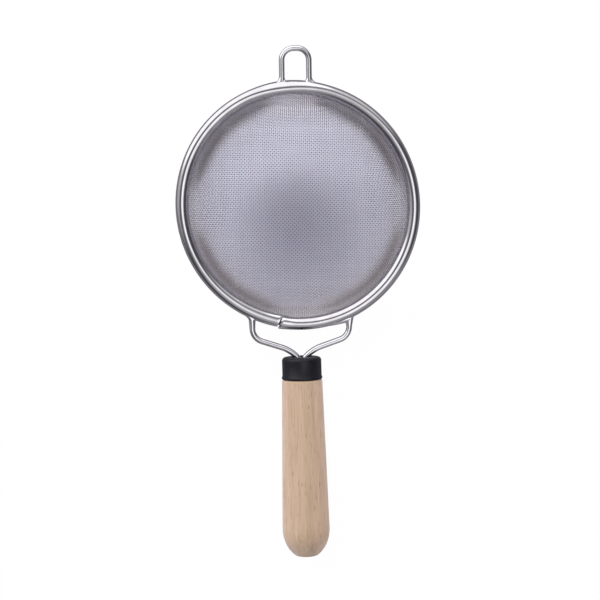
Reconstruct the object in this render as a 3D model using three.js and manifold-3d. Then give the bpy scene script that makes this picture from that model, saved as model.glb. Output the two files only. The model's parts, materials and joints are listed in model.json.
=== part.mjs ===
// Miso strainer: a woven wire bowl held in a rolled steel rim, with a welded rest loop in front,
// a two-armed wire fork behind, a black ferrule and a turned beech handle.
// Millimetres, +Z up, +Y towards the rest loop. The tool lies on a table, on its bowl and its butt.
import * as THREE from 'three';
import { mergeVertices } from 'three/addons/utils/BufferGeometryUtils.js';
import Module from 'manifold-3d';

// Fits
const clearance = 0.3;

// Rim: a steel strip rolled over a wire hoop, with a leg that lines the top of the net
const rimDiameter = 118;
const stripThickness = 0.5;
const hoopDiameter = 3.2;
const rimLegLength = 1.6;
const wallAngle = 78;
const seamAngle = 262;
const seamSlant = 24;
const seamGap = 0.35;

// Bowl: a floor arc, a side arc and a straight wall up into the rim
const netThickness = 1.0;
const netBarWidth = 1.2;
const netPitch = 7;
const floorRadius = 66;
const floorAngle = 25;

// Rest loop
const loopWireDiameter = 2.7;
const loopWidth = 15.6;
const loopReach = 16.5;
const loopCornerRadius = 5.6;

// Fork
const forkWireDiameter = 2.8;
const forkSpan = 46.4;
const forkSlope = 18.5;
const forkShoulderRadius = 6.6;
const forkNeckRadius = 6.5;
const forkNeckDepth = 2.4;
const tangSpacing = 3.1;
const tangDepth = 42;

// Welds: each wire end swells where it meets the rim
const weldFlare = 0.75;
const weldReach = 2.6;

// Ferrule
const ferruleDiameter = 18.9;
const ferruleLength = 10.8;
const ferruleWall = 1.6;
const ferruleEndWall = 2.6;
const ferruleCornerRadius = 1.7;
const ferruleLipLength = 1.4;
const ferruleLipHeight = 0.3;
const ferruleSetback = 13.8;

// Handle
const handleLength = 86;
const handleNeckDiameter = 19.4;
const handleButtDiameter = 22.8;
const handleNeckChamfer = 0.6;
const buttCurveLength = 14.7;
const buttFlatDiameter = 8.2;

// Facets
const rimSegments = 64;
const turnedSegments = 36;
const wireSides = 12;

const degrees = Math.PI / 180;
const wasm = await Module();
wasm.setup();

// Shape helpers

function toSolid(geometry) {
  const bare = geometry.clone();
  bare.deleteAttribute('normal');
  bare.deleteAttribute('uv');
  const merged = mergeVertices(bare, 1e-4);
  const corners = merged.index.array;
  const kept = [];
  for (let i = 0; i < corners.length; i += 3) {
    const [a, b, c] = corners.slice(i, i + 3);
    if (a !== b && b !== c && c !== a) kept.push(a, b, c);
  }
  const mesh = new wasm.Mesh({
    numProp: 3,
    vertProperties: new Float32Array(merged.attributes.position.array),
    triVerts: new Uint32Array(kept),
  });
  return new wasm.Manifold(mesh);
}

function toGeometry(solid) {
  const { vertProperties, triVerts } = solid.getMesh();
  return closedGeometry(vertProperties, triVerts);
}

function closedGeometry(positions, triangles) {
  const geometry = new THREE.BufferGeometry();
  geometry.setAttribute('position', new THREE.BufferAttribute(new Float32Array(positions), 3));
  geometry.setIndex([...triangles]);
  const flat = geometry.toNonIndexed();
  flat.computeVertexNormals();
  return flat;
}

function cut(geometry, ...tools) {
  let solid = toSolid(geometry);
  for (const tool of tools) solid = solid.subtract(toSolid(tool));
  return toGeometry(solid);
}

// A closed section of [radius, height] points turned about the vertical axis of the bowl
function turnAboutZ(section) {
  const points = section.map(([radius, height]) => new THREE.Vector2(radius, height));
  points.push(points[0].clone());
  return new THREE.LatheGeometry(points, rimSegments).rotateX(Math.PI / 2);
}

// A profile of [radius, y] points turned about the long axis of the handle
function turnAboutY(profile) {
  const points = profile.map(([radius, y]) => new THREE.Vector2(radius, y));
  return new THREE.LatheGeometry(points, turnedSegments);
}

function arcPoints(centre, radius, from, to, steps) {
  return Array.from({ length: steps + 1 }, (_, i) => {
    const angle = (from + ((to - from) * i) / steps) * degrees;
    return [centre[0] + radius * Math.cos(angle), centre[1] + radius * Math.sin(angle)];
  });
}

// A wire in the rim plane that runs straight between its corners and bends round each of them.
// Each corner is [x, y, bend radius]. The wire swells by the weld at each end listed in welds.
function bentWire(corners, diameter, welds) {
  const bendSteps = 8;
  const points = [new THREE.Vector2(...corners[0])];
  for (let i = 1; i < corners.length - 1; i++) {
    const [x, y, bendRadius] = corners[i];
    const corner = new THREE.Vector2(x, y);
    const back = new THREE.Vector2(...corners[i - 1]).sub(corner).normalize();
    const ahead = new THREE.Vector2(...corners[i + 1]).sub(corner).normalize();
    const half = Math.acos(back.dot(ahead)) / 2;
    const middle = back.clone().add(ahead).normalize();
    const centre = corner.clone().addScaledVector(middle, bendRadius / Math.sin(half));
    const start = corner.clone().addScaledVector(back, bendRadius / Math.tan(half)).sub(centre);
    const turn = -Math.sign(back.cross(ahead)) * (Math.PI - 2 * half);
    for (let k = 0; k <= bendSteps; k++) {
      const spoke = start.clone().rotateAround(new THREE.Vector2(), (turn * k) / bendSteps);
      points.push(centre.clone().add(spoke));
    }
  }
  points.push(new THREE.Vector2(...corners.at(-1)));
  return sweptWire(addWeldStations(points, welds), diameter / 2, welds);
}

// Extra stations close to a welded end, where the radius changes
function addWeldStations(points, welds) {
  const shares = [0.25, 0.5, 0.75, 1];
  const stations = points.map((point) => point.clone());
  for (const weld of welds) {
    const end = weld.atStart ? points[0] : points.at(-1);
    const next = weld.atStart ? points[1] : points.at(-2);
    const along = next.clone().sub(end).normalize();
    const extra = shares.map((share) => {
      return end.clone().addScaledVector(along, weld.buried + weldReach * share);
    });
    extra.unshift(end.clone().addScaledVector(along, weld.buried));
    if (weld.atStart) stations.splice(1, 0, ...extra);
    else stations.splice(stations.length - 1, 0, ...extra.reverse());
  }
  return stations;
}

function sweptWire(points, radius, welds) {
  const positions = [];
  const triangles = [];
  points.forEach((point, k) => {
    const before = points[Math.max(k - 1, 0)];
    const after = points[Math.min(k + 1, points.length - 1)];
    const along = after.clone().sub(before).normalize();
    const swell = welds.reduce((sum, weld) => {
      const end = weld.atStart ? points[0] : points.at(-1);
      const fade = 1 - Math.max(point.distanceTo(end) - weld.buried, 0) / weldReach;
      return sum + weldFlare * Math.max(fade, 0) ** 2;
    }, 0);
    for (let m = 0; m < wireSides; m++) {
      const angle = ((m + 0.5) * 2 * Math.PI) / wireSides;
      const side = (radius + swell) * Math.cos(angle);
      const up = (radius + swell) * Math.sin(angle);
      positions.push(point.x - along.y * side, point.y + along.x * side, up);
    }
  });
  const last = (points.length - 1) * wireSides;
  for (let k = 0; k < points.length - 1; k++) {
    for (let m = 0; m < wireSides; m++) {
      const a = k * wireSides + m;
      const b = k * wireSides + ((m + 1) % wireSides);
      triangles.push(a, b, b + wireSides, a, b + wireSides, a + wireSides);
    }
  }
  for (let m = 1; m < wireSides - 1; m++) {
    triangles.push(0, m + 1, m, last, last + m, last + m + 1);
  }
  return closedGeometry(positions, triangles);
}

// Rim: the roll's centre, and the line of the net that rises into it

const rollInside = (netThickness + hoopDiameter + 3 * clearance) / 2;
const rollOutside = rollInside + stripThickness;
const rollRadius = rimDiameter / 2 - rollOutside;
const wallSlope = [Math.cos(wallAngle * degrees), Math.sin(wallAngle * degrees)];

// A point beside the roll: offset is towards the bowl's axis, square to the wall, and drop is down the wall
function besideRoll(offset, drop) {
  return [
    rollRadius - offset * wallSlope[1] - drop * wallSlope[0],
    offset * wallSlope[0] - drop * wallSlope[1],
  ];
}

const netOffset = rollInside - clearance - netThickness / 2;

function rimBand() {
  const legDirection = 90 + wallAngle;
  const curlOffset = netOffset - netThickness / 2 - clearance;
  const curlEnd = legDirection - 360 + Math.acos(curlOffset / rollInside) / degrees;
  const rollSteps = 10;
  const centre = [rollRadius, 0];
  const section = [
    besideRoll(rollOutside, rimLegLength),
    ...arcPoints(centre, rollOutside, legDirection, curlEnd, rollSteps),
    ...arcPoints(centre, rollInside, curlEnd, legDirection, rollSteps),
    besideRoll(rollInside, rimLegLength),
  ];
  const ring = turnAboutZ(section.reverse());
  const seamDepth = 4 * (rollOutside + rimLegLength);
  const seam = new THREE.BoxGeometry(seamDepth, seamGap, seamDepth);
  seam.rotateZ(seamSlant * degrees).translate(rollRadius, 0, 0).rotateZ(seamAngle * degrees);
  return cut(ring, seam);
}

function rimCoreHoop() {
  const offset = netOffset - netThickness / 2 - clearance - hoopDiameter / 2;
  const section = arcPoints(besideRoll(offset, 0), hoopDiameter / 2, 0, 315, 7);
  return turnAboutZ(section);
}

// The room that the wires leave for the rim at their welds
function rimRoom() {
  const steps = 24;
  const section = arcPoints([rollRadius, 0], rollOutside + clearance, 0, 360 - 360 / steps, steps - 1);
  return turnAboutZ(section);
}

// Bowl: arc lengths are measured from the middle of the floor

const wallStart = besideRoll(netOffset, rimLegLength);
const sideRadius = (wallStart[0] - floorRadius * Math.sin(floorAngle * degrees))
  / (Math.sin(wallAngle * degrees) - Math.sin(floorAngle * degrees));
const floorLength = floorRadius * floorAngle * degrees;
const sideLength = sideRadius * (wallAngle - floorAngle) * degrees;
const netReach = floorLength + sideLength + rimLegLength;
const floorEndHeight = wallStart[1]
  - sideRadius * (Math.cos(floorAngle * degrees) - Math.cos(wallAngle * degrees));
const floorHeight = floorEndHeight - floorRadius * (1 - Math.cos(floorAngle * degrees));

// Radius, height and slope of the net at an arc length from the middle of the floor
function bowlAt(length) {
  if (length < floorLength) {
    const slope = length / floorRadius;
    const height = floorHeight + floorRadius * (1 - Math.cos(slope));
    return { radius: floorRadius * Math.sin(slope), height, slope };
  }
  if (length < floorLength + sideLength) {
    const first = floorAngle * degrees;
    const slope = first + (length - floorLength) / sideRadius;
    const radius = floorRadius * Math.sin(first) + sideRadius * (Math.sin(slope) - Math.sin(first));
    const height = floorEndHeight + sideRadius * (Math.cos(first) - Math.cos(slope));
    return { radius, height, slope };
  }
  const rise = length - floorLength - sideLength;
  const radius = wallStart[0] + rise * wallSlope[0];
  return { radius, height: wallStart[1] + rise * wallSlope[1], slope: wallAngle * degrees };
}

// A place on the net, with the direction that points into the bowl there
function netPlace(length, turn) {
  const { radius, height, slope } = bowlAt(length);
  const lean = -Math.sin(slope);
  const point = new THREE.Vector3(radius * Math.cos(turn), radius * Math.sin(turn), height);
  const inward = new THREE.Vector3(lean * Math.cos(turn), lean * Math.sin(turn), Math.cos(slope));
  return { length, point, inward };
}

// A woven net keeps its wire lengths when it is pressed into a bowl, and its squares lean into diamonds.
// So each crossing lies one pitch from the two crossings before it, starting from the two straight wires
// that cross in the middle of the floor.
function nextCrossing(left, below, guess) {
  let { length, turn } = guess;
  for (let pass = 0; pass < 12; pass++) {
    const { radius, slope } = bowlAt(length);
    const here = netPlace(length, turn).point;
    const outward = new THREE.Vector3(
      Math.cos(turn) * Math.cos(slope),
      Math.sin(turn) * Math.cos(slope),
      Math.sin(slope),
    );
    const around = new THREE.Vector3(-Math.sin(turn), Math.cos(turn), 0).multiplyScalar(radius);
    const [fromLeft, fromBelow] = [left, below].map((point) => here.clone().sub(point));
    const a = fromLeft.dot(outward);
    const b = fromLeft.dot(around);
    const c = fromBelow.dot(outward);
    const d = fromBelow.dot(around);
    const missLeft = (netPitch ** 2 - fromLeft.lengthSq()) / 2;
    const missBelow = (netPitch ** 2 - fromBelow.lengthSq()) / 2;
    const scale = a * d - b * c;
    length += (missLeft * d - missBelow * b) / scale;
    turn += (a * missBelow - c * missLeft) / scale;
  }
  return { length, turn };
}

// One quarter of the crossings, as arc length and turn, by their counts along and across
function quarterNet() {
  const count = Math.floor(netReach / netPitch) + 2;
  const quarter = [];
  for (let i = 0; i <= count; i++) {
    quarter.push([]);
    for (let j = 0; j <= count; j++) {
      if (i === 0 || j === 0) {
        quarter[i].push({ length: netPitch * (i + j), turn: i === 0 ? Math.PI / 2 : 0 });
        continue;
      }
      const before = [quarter[i - 1][j], quarter[i][j - 1]];
      if (before.includes(null) || before.every((node) => node.length > netReach + netPitch)) {
        quarter[i].push(null);
        continue;
      }
      const [left, below] = before.map(({ length, turn }) => netPlace(length, turn).point);
      const length = Math.max(before[0].length, before[1].length) + netPitch / 2;
      quarter[i].push(nextCrossing(left, below, { length, turn: Math.atan2(j, i) }));
    }
  }
  return quarter;
}

function layFlat(direction, inward) {
  return direction.clone().addScaledVector(inward, -direction.dot(inward)).normalize();
}

// The net as one body: a hub at each crossing, joined to its neighbours by bars, with the wire ends
// running on up into the rim. It is drawn with fewer and thicker wires than a woven net has.
function meshBowl() {
  const quarter = quarterNet();
  const count = quarter.length - 1;
  const wireEnd = netReach - netBarWidth;
  const lastHub = wireEnd - 1.5 * netBarWidth;
  const drawnDown = wireEnd + netPitch / 3;
  const positions = [];
  const triangles = [];
  const hubs = new Map();

  // A crossing close to the wire ends is drawn down the wall to the last place with room for a hub
  function crossing(i, j) {
    const node = quarter[Math.abs(i)]?.[Math.abs(j)];
    if (!node) return null;
    const across = Math.sign(i) * Math.cos(node.turn);
    const length = node.length < drawnDown ? Math.min(node.length, lastHub) : node.length;
    return netPlace(length, Math.atan2(Math.sign(j) * Math.sin(node.turn), across));
  }

  function wireDirection(i, j, [stepI, stepJ], { point, inward }) {
    const ahead = crossing(i + stepI, j + stepJ)?.point ?? point;
    const behind = crossing(i - stepI, j - stepJ)?.point ?? point;
    return layFlat(ahead.clone().sub(behind), inward);
  }

  // Four corners above and the four below them, spread along the two wires that cross at a place
  function addCorners({ point, inward }, along, across) {
    const first = positions.length / 3;
    const spread = netBarWidth / 2 / along.clone().cross(across).length();
    for (const level of [0.5, -0.5]) {
      for (const [p, q] of [[-1, -1], [1, -1], [1, 1], [-1, 1]]) {
        const corner = point.clone().addScaledVector(inward, level * netThickness);
        corner.addScaledVector(along, p * spread).addScaledVector(across, q * spread);
        positions.push(corner.x, corner.y, corner.z);
      }
    }
    return first;
  }

  function addQuad(a, b, c, d) {
    triangles.push(a, b, c, a, c, d);
  }

  // The face of a hub towards a neighbour: two corners above and the two below them
  function face(first, [p, q]) {
    return [first + p, first + q, first + 4 + q, first + 4 + p];
  }

  function addBar(from, to) {
    for (let k = 0; k < 4; k++) {
      const next = (k + 1) % 4;
      addQuad(from[k], to[k], to[next], from[next]);
    }
  }

  for (let i = -count; i <= count; i++) {
    for (let j = -count; j <= count; j++) {
      const place = crossing(i, j);
      if (!place || place.length > lastHub) continue;
      const along = wireDirection(i, j, [1, 0], place);
      const across = wireDirection(i, j, [0, 1], place);
      const first = addCorners(place, along, across);
      hubs.set(`${i},${j}`, { i, j, place, along, across, first });
      addQuad(first, first + 1, first + 2, first + 3);
      addQuad(first + 7, first + 6, first + 5, first + 4);
    }
  }

  const sides = [
    { step: [1, 0], here: [1, 2], there: [0, 3] },
    { step: [0, 1], here: [2, 3], there: [1, 0] },
    { step: [-1, 0], here: [3, 0], there: [2, 1] },
    { step: [0, -1], here: [0, 1], there: [3, 2] },
  ];
  for (const { i, j, place, along, across, first } of hubs.values()) {
    for (const { step, here, there } of sides) {
      const from = face(first, here);
      const neighbour = hubs.get(`${i + step[0]},${j + step[1]}`);
      if (neighbour) {
        if (step[0] + step[1] > 0) addBar(from, face(neighbour.first, there));
        continue;
      }
      const beyond = crossing(i + step[0], j + step[1]);
      const share = (wireEnd - place.length) / (beyond.length - place.length);
      const towards = place.point.clone().lerp(beyond.point, share);
      const end = netPlace(wireEnd, Math.atan2(towards.y, towards.x));
      const to = face(addCorners(end, layFlat(along, end.inward), layFlat(across, end.inward)), here);
      addBar(from, to);
      addQuad(...to.reverse());
    }
  }
  return closedGeometry(positions, triangles);
}

// Rest loop and fork, cut back where they meet the rim

function rimEdgeAt(x) {
  return Math.sqrt((rimDiameter / 2) ** 2 - x ** 2);
}

function rollMiddleAt(x) {
  return Math.sqrt(rollRadius ** 2 - x ** 2);
}

function frontLoop() {
  const x = (loopWidth - loopWireDiameter) / 2;
  const top = rimDiameter / 2 + loopReach - loopWireDiameter / 2;
  const buried = rimEdgeAt(x) - rollMiddleAt(x);
  const corners = [
    [-x, rollMiddleAt(x)],
    [-x, top, loopCornerRadius],
    [x, top, loopCornerRadius],
    [x, rollMiddleAt(x)],
  ];
  const welds = [{ atStart: true, buried }, { atStart: false, buried }];
  return cut(bentWire(corners, loopWireDiameter, welds), rimRoom());
}

const rimBack = -rimDiameter / 2;
const ferruleEnd = rimBack - ferruleSetback;
const handleNeck = ferruleEnd - ferruleLength;
const tangEnd = ferruleEnd - tangDepth;

function forkArm(side) {
  const x = forkSpan / 2;
  const tang = tangSpacing / 2;
  const neckTurn = (90 - forkSlope) * degrees;
  const neck = ferruleEnd - forkNeckDepth + forkNeckRadius * Math.tan(neckTurn / 2);
  const shoulder = neck + (x - tang) / Math.tan(neckTurn);
  const corners = [
    [side * x, -rollMiddleAt(x)],
    [side * x, shoulder, forkShoulderRadius],
    [side * tang, neck, forkNeckRadius],
    [side * tang, tangEnd],
  ];
  const welds = [{ atStart: true, buried: rimEdgeAt(x) - rollMiddleAt(x) }];
  return cut(bentWire(corners, forkWireDiameter, welds), rimRoom());
}

// A flat slot along the handle's axis that takes both tangs side by side
function tangSlot(halfWidth, top, bottom) {
  const radius = forkWireDiameter / 2 + clearance;
  const outline = new THREE.Shape();
  outline.absarc(halfWidth - radius, 0, radius, -Math.PI / 2, Math.PI / 2);
  outline.absarc(radius - halfWidth, 0, radius, Math.PI / 2, Math.PI * 1.5);
  const extrusion = { depth: top - bottom, bevelEnabled: false, curveSegments: 8 };
  const slot = new THREE.ExtrudeGeometry(outline, extrusion);
  return slot.rotateX(Math.PI / 2).translate(0, top, 0);
}

// Half the width that the two wires take up at the ferrule's end, where they are still bending
const tangHalfWidth = (tangSpacing + forkWireDiameter) / 2;
const neckInside = forkNeckRadius - forkWireDiameter / 2;
const mouthHalfWidth = tangSpacing / 2 + forkNeckRadius - Math.sqrt(neckInside ** 2 - forkNeckDepth ** 2);

const spigotRadius = ferruleDiameter / 2 - ferruleWall - clearance;
const spigotEnd = ferruleEnd - ferruleEndWall - clearance;

function ferrule() {
  const outside = ferruleDiameter / 2;
  const lip = outside + ferruleLipHeight;
  const bottom = handleNeck + clearance;
  const cornerCentre = [outside - ferruleCornerRadius, ferruleEnd - ferruleCornerRadius];
  const cup = turnAboutY([
    [0, ferruleEnd - ferruleEndWall],
    [outside - ferruleWall, ferruleEnd - ferruleEndWall],
    [outside - ferruleWall, bottom],
    [lip, bottom],
    [lip, bottom + ferruleLipLength - ferruleLipHeight],
    [outside, bottom + ferruleLipLength],
    ...arcPoints(cornerCentre, ferruleCornerRadius, 0, 90, 5),
    [0, ferruleEnd],
  ]);
  const mouthDepth = ferruleEnd - 2 * ferruleEndWall;
  return cut(cup, tangSlot(mouthHalfWidth + clearance, ferruleEnd + clearance, mouthDepth));
}

function handle() {
  const neck = handleNeckDiameter / 2;
  const butt = handleButtDiameter / 2;
  const end = handleNeck - handleLength;
  const flat = buttFlatDiameter / 2;
  const sweep = Math.acos(flat / butt) / degrees;
  const stretch = buttCurveLength / butt;
  const curveDepth = buttCurveLength * Math.sin(sweep * degrees);
  const curve = arcPoints([0, 0], butt, sweep, 0, 9).map(([radius, depth]) => {
    return [radius, end + curveDepth - depth * stretch];
  });
  const blank = turnAboutY([
    [0, end],
    ...curve,
    [neck, handleNeck - handleNeckChamfer],
    [neck - handleNeckChamfer, handleNeck],
    [spigotRadius, handleNeck],
    [spigotRadius, spigotEnd],
    [0, spigotEnd],
  ]);
  return cut(blank, tangSlot(tangHalfWidth + clearance, spigotEnd + clearance, tangEnd - clearance));
}

// Materials
const polishedSteel = { color: 0xc9cbd0, roughness: 0.18, metalness: 1 };
const wireSteel = { color: 0xb4b5ba, roughness: 0.3, metalness: 1 };
const blackPlastic = { color: 0x1e1c21, roughness: 0.42, metalness: 0 };
const beech = { color: 0xd8b98c, roughness: 0.6, metalness: 0 };

// Assembly
const strainer = new THREE.Group();
const tool = new THREE.Group();
strainer.add(tool);

function addPiece(name, geometry, finish) {
  const piece = new THREE.Mesh(geometry, new THREE.MeshStandardMaterial(finish));
  piece.name = name;
  tool.add(piece);
  return piece;
}

const bowl = addPiece('mesh_bowl', meshBowl(), wireSteel);
addPiece('rim_band', rimBand(), polishedSteel);
addPiece('rim_core_hoop', rimCoreHoop(), wireSteel);
addPiece('front_loop', frontLoop(), polishedSteel);
addPiece('fork_arm_left', forkArm(-1), polishedSteel);
addPiece('fork_arm_right', forkArm(1), polishedSteel);
addPiece('ferrule', ferrule(), blackPlastic);
const grip = addPiece('handle', handle(), beech);

// Lay the tool down: it tips about X until the bowl and the butt touch the table together
function lowest(piece, tilt) {
  const { array } = piece.geometry.attributes.position;
  let low = Infinity;
  for (let i = 0; i < array.length; i += 3) {
    low = Math.min(low, array[i + 1] * Math.sin(tilt) + array[i + 2] * Math.cos(tilt));
  }
  return low;
}

function restingTilt() {
  let [level, steep] = [0, Math.PI / 4];
  for (let pass = 0; pass < 40; pass++) {
    const tilt = (level + steep) / 2;
    if (lowest(bowl, tilt) < lowest(grip, tilt)) level = tilt;
    else steep = tilt;
  }
  return (level + steep) / 2;
}

tool.rotation.x = restingTilt();
const box = new THREE.Box3().setFromObject(strainer, true);
const middle = box.getCenter(new THREE.Vector3());
tool.position.set(-middle.x, -middle.y, -box.min.z);

export default strainer;
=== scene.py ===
# %% [markdown]
# # A miso strainer, modelled the way it is made
# The strainer comes in as imported CAD solids, which stay where they are as a fixed frame. This lesson models
# each piece again for the picture: a rolled rim, a woven net, bent and welded wires, a moulded ferrule and a
# turned beech handle. The first cell loads the frame and prints the names of its nodes.

# %% Load the imported strainer
import json
import math

import bmesh
import bpy
import numpy as np
from mathutils import Matrix, Vector


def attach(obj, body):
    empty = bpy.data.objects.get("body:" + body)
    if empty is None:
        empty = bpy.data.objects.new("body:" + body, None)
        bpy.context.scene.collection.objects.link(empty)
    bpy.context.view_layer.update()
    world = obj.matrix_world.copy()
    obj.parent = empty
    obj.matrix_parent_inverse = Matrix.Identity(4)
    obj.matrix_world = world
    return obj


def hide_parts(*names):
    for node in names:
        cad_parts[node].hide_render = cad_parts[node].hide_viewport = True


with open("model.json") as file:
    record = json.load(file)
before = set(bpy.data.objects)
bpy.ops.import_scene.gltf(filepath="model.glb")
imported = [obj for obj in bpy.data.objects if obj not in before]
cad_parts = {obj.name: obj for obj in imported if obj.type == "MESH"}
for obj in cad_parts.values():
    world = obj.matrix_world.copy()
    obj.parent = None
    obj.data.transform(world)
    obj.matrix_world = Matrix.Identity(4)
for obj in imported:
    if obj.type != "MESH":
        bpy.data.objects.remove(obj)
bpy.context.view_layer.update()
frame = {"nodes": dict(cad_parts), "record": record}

print("CAD nodes:", ", ".join(sorted(frame["nodes"])))

# %% [markdown]
# ## The tool's own frame
# The strainer lies on the table tipped back, on its bowl and its butt. Modelling a tipped tool is awkward,
# so every piece is built level, with the middle of the rim at the origin and the handle along -Y. One
# matrix then lays each finished mesh down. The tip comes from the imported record, which says where the butt
# is and which way it faces.

# %% Sizes and the matrix that lays the tool down
MM = 0.001
RIM_RADIUS = 59 * MM
FERRULE_SETBACK = 13.8 * MM
FERRULE_LENGTH = 10.8 * MM
HANDLE_LENGTH = 86 * MM

ferrule_end = -RIM_RADIUS - FERRULE_SETBACK
handle_neck = ferrule_end - FERRULE_LENGTH
handle_end = handle_neck - HANDLE_LENGTH

butt = frame["record"]["mounts"][0]
tip_angle = math.atan2(-butt["axis"][2], -butt["axis"][1])
tip = Matrix.Rotation(tip_angle, 4, "X")
rim_centre = Vector(butt["pos_m"]) - tip @ Vector((0, handle_end, 0))
LAY_DOWN = Matrix.Translation(rim_centre) @ tip
print(f"tipped {math.degrees(tip_angle):.2f} degrees, rim centre {[round(c, 4) for c in rim_centre]}")

# %% [markdown]
# ## Helpers
# Most pieces start as a circle, the end view of a wire or of a turned piece, and grow from it in edit mode.
# When a piece is done it is laid on the table, it rides on the one CAD body, and it stands in for its CAD
# node.

# %% Helpers for starting, shaping and handing over a piece
def new_circle(name, sides, radius, centre, turn):
    """Adds a ring of edges as a new piece and opens it in edit mode with everything selected."""
    bpy.ops.object.select_all(action="DESELECT")
    bpy.ops.mesh.primitive_circle_add(vertices=sides, radius=radius, location=centre, rotation=turn)
    piece = bpy.context.object
    piece.name = name
    piece.data.name = name
    bpy.ops.object.transform_apply(location=True, rotation=True, scale=True)
    bpy.ops.object.mode_set(mode="EDIT")
    bpy.ops.mesh.select_all(action="SELECT")
    return piece


def push(offset):
    bpy.ops.mesh.extrude_region_move(TRANSFORM_OT_translate={"value": tuple(offset)})


def select_where(piece, test):
    """Selects the vertices of a piece in edit mode whose place passes a test."""
    bpy.ops.mesh.select_all(action="DESELECT")
    mesh = bmesh.from_edit_mesh(piece.data)
    for vertex in mesh.verts:
        vertex.select_set(bool(test(vertex.co)))
    mesh.select_flush_mode()
    bmesh.update_edit_mesh(piece.data)


def apply_modifier(piece, kind, **settings):
    modifier = piece.modifiers.new(kind.lower(), kind)
    for key, value in settings.items():
        setattr(modifier, key, value)
    bpy.ops.object.modifier_apply(modifier=modifier.name)


def close_and_smooth(piece, sharp_degrees):
    """Caps open ends, turns the faces outwards and leaves the piece smooth, apart from its real edges."""
    bpy.ops.mesh.select_all(action="SELECT")
    bpy.ops.mesh.remove_doubles(threshold=0.001 * MM)
    bpy.ops.mesh.fill_holes(sides=0)
    bpy.ops.mesh.normals_make_consistent(inside=False)
    bpy.ops.object.mode_set(mode="OBJECT")
    bpy.ops.object.shade_smooth_by_angle(angle=math.radians(sharp_degrees))


def hand_over(piece, node):
    """Lays a finished piece on the table and lets it stand for its CAD node."""
    piece.data.transform(LAY_DOWN)
    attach(piece, "root")
    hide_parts(node)
    print(f"{piece.name}: {len(piece.data.polygons)} faces")


def ease(share):
    """Rises from 0 to 1 with a soft start and a soft end."""
    share = np.clip(share, 0, 1)
    return share * share * (3 - 2 * share)

# %% [markdown]
# ## The rim
# A real rim is a steel strip that rollers curl over the edge of the net and a wire hoop, until it is almost
# a tube. So the end view of the strip is drawn first: a circle loses the part of its arc where the net
# comes in, and its upper end is pulled down as a short lip, with a hem at the bottom that leans against the
# net. Spinning that line round the bowl makes the band. It stops just short of a full turn, because the two
# ends of a real strip don't quite meet.

# %% Roll the rim
ROLL_CIRCLE = 55.95 * MM
ROLL_OUTSIDE = 3.02 * MM
STRIP = 0.5 * MM
LEG_LENGTH = 1.6 * MM
HEM_LENGTH = 0.4 * MM
HEM_ANGLE = math.radians(25)
WALL_ANGLE = math.radians(78)
CURL_END = 240
SEAM_GAP = 0.5 * MM
SECTION_SIDES = 60
RIM_STEPS = 288

roll_middle = ROLL_OUTSIDE - STRIP / 2
leg_angle = math.degrees(WALL_ANGLE) + 90

rim = new_circle("rim", SECTION_SIDES, roll_middle, (ROLL_CIRCLE, 0, 0), (math.pi / 2, 0, 0))


def angle_in_section(place):
    return math.degrees(math.atan2(place.z, place.x - ROLL_CIRCLE)) % 360


def down_the_wall(angle):
    return Vector((-math.cos(angle), 0, -math.sin(angle)))


select_where(rim, lambda place: leg_angle + 1 < angle_in_section(place) < CURL_END - 1)
bpy.ops.mesh.delete(type="VERT")
select_where(rim, lambda place: abs(angle_in_section(place) - leg_angle) < 1)
push(down_the_wall(WALL_ANGLE) * (LEG_LENGTH - HEM_LENGTH))
push(down_the_wall(WALL_ANGLE + HEM_ANGLE) * HEM_LENGTH)
section_size = len(bmesh.from_edit_mesh(rim.data).verts)
bpy.ops.mesh.select_all(action="SELECT")
full_turn = 2 * math.pi - SEAM_GAP / RIM_RADIUS
bpy.ops.mesh.spin(steps=RIM_STEPS, angle=-full_turn, center=(0, 0, 0), axis=(0, 0, 1))
bpy.ops.object.mode_set(mode="OBJECT")
print(f"rim section of {section_size} points, spun to {len(rim.data.vertices)}")

# %% [markdown]
# The two ends of the strip meet in a seam by the fork. Each ring could be moved by hand in edit mode, but
# the changes fade out over many rings, so they are worked out for all points at once. Both ends are
# sheared, and the gap runs on a slant. The first end stands up and out a little, and the last one is
# flatter. By the loop, on the far side, the roll is pressed wider and its crest leans in.

# %% Shape the ends of the strip
SEAM_ANGLE = math.radians(259.6)
SEAM_SLANT = math.radians(17)
END_RISE = 0.3 * MM
END_RAMP = 7 * MM
FIRST_OUT = 0.45 * MM
FIRST_RAMP = 70 * MM
LAST_FLATTEN = 0.3
LAST_RAMP = 50 * MM
PRESSED_ANGLE = math.radians(94)
PRESSED_RAMP = 24 * MM
PRESSED_LEAN = 0.7 * MM
PRESSED_WIDER = 0.15

places = np.array([vertex.co for vertex in rim.data.vertices])
from_start = np.arange(len(places)) // section_size * full_turn * RIM_RADIUS / RIM_STEPS
to_last = full_turn * RIM_RADIUS - from_start
from_end = np.minimum(from_start, to_last)
turn = np.arctan2(places[:, 1], places[:, 0])
out = np.hypot(places[:, 0], places[:, 1]) - ROLL_CIRCLE
up = places[:, 2]
rise = 1 + END_RISE / roll_middle * (1 - ease(from_start / END_RAMP))
slant = -out * math.tan(SEAM_SLANT) * (1 - ease(from_end / END_RAMP)) / RIM_RADIUS
first_end = 1 - ease(from_start / FIRST_RAMP)
last_end = 1 - ease(to_last / LAST_RAMP)
to_loop = np.abs(from_start - (PRESSED_ANGLE - SEAM_ANGLE + 2 * math.pi) * RIM_RADIUS)
pressed = 1 - ease(to_loop / PRESSED_RAMP)
lean_in = PRESSED_LEAN * pressed * np.maximum(up, 0) / roll_middle
wider = 1 + PRESSED_WIDER * pressed * (out > 0)
radius = ROLL_CIRCLE + out * rise * wider - lean_in + FIRST_OUT * first_end
turn = turn + slant + SEAM_ANGLE
height = up * rise * (1 - LAST_FLATTEN * last_end * (up > 0))
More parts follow.
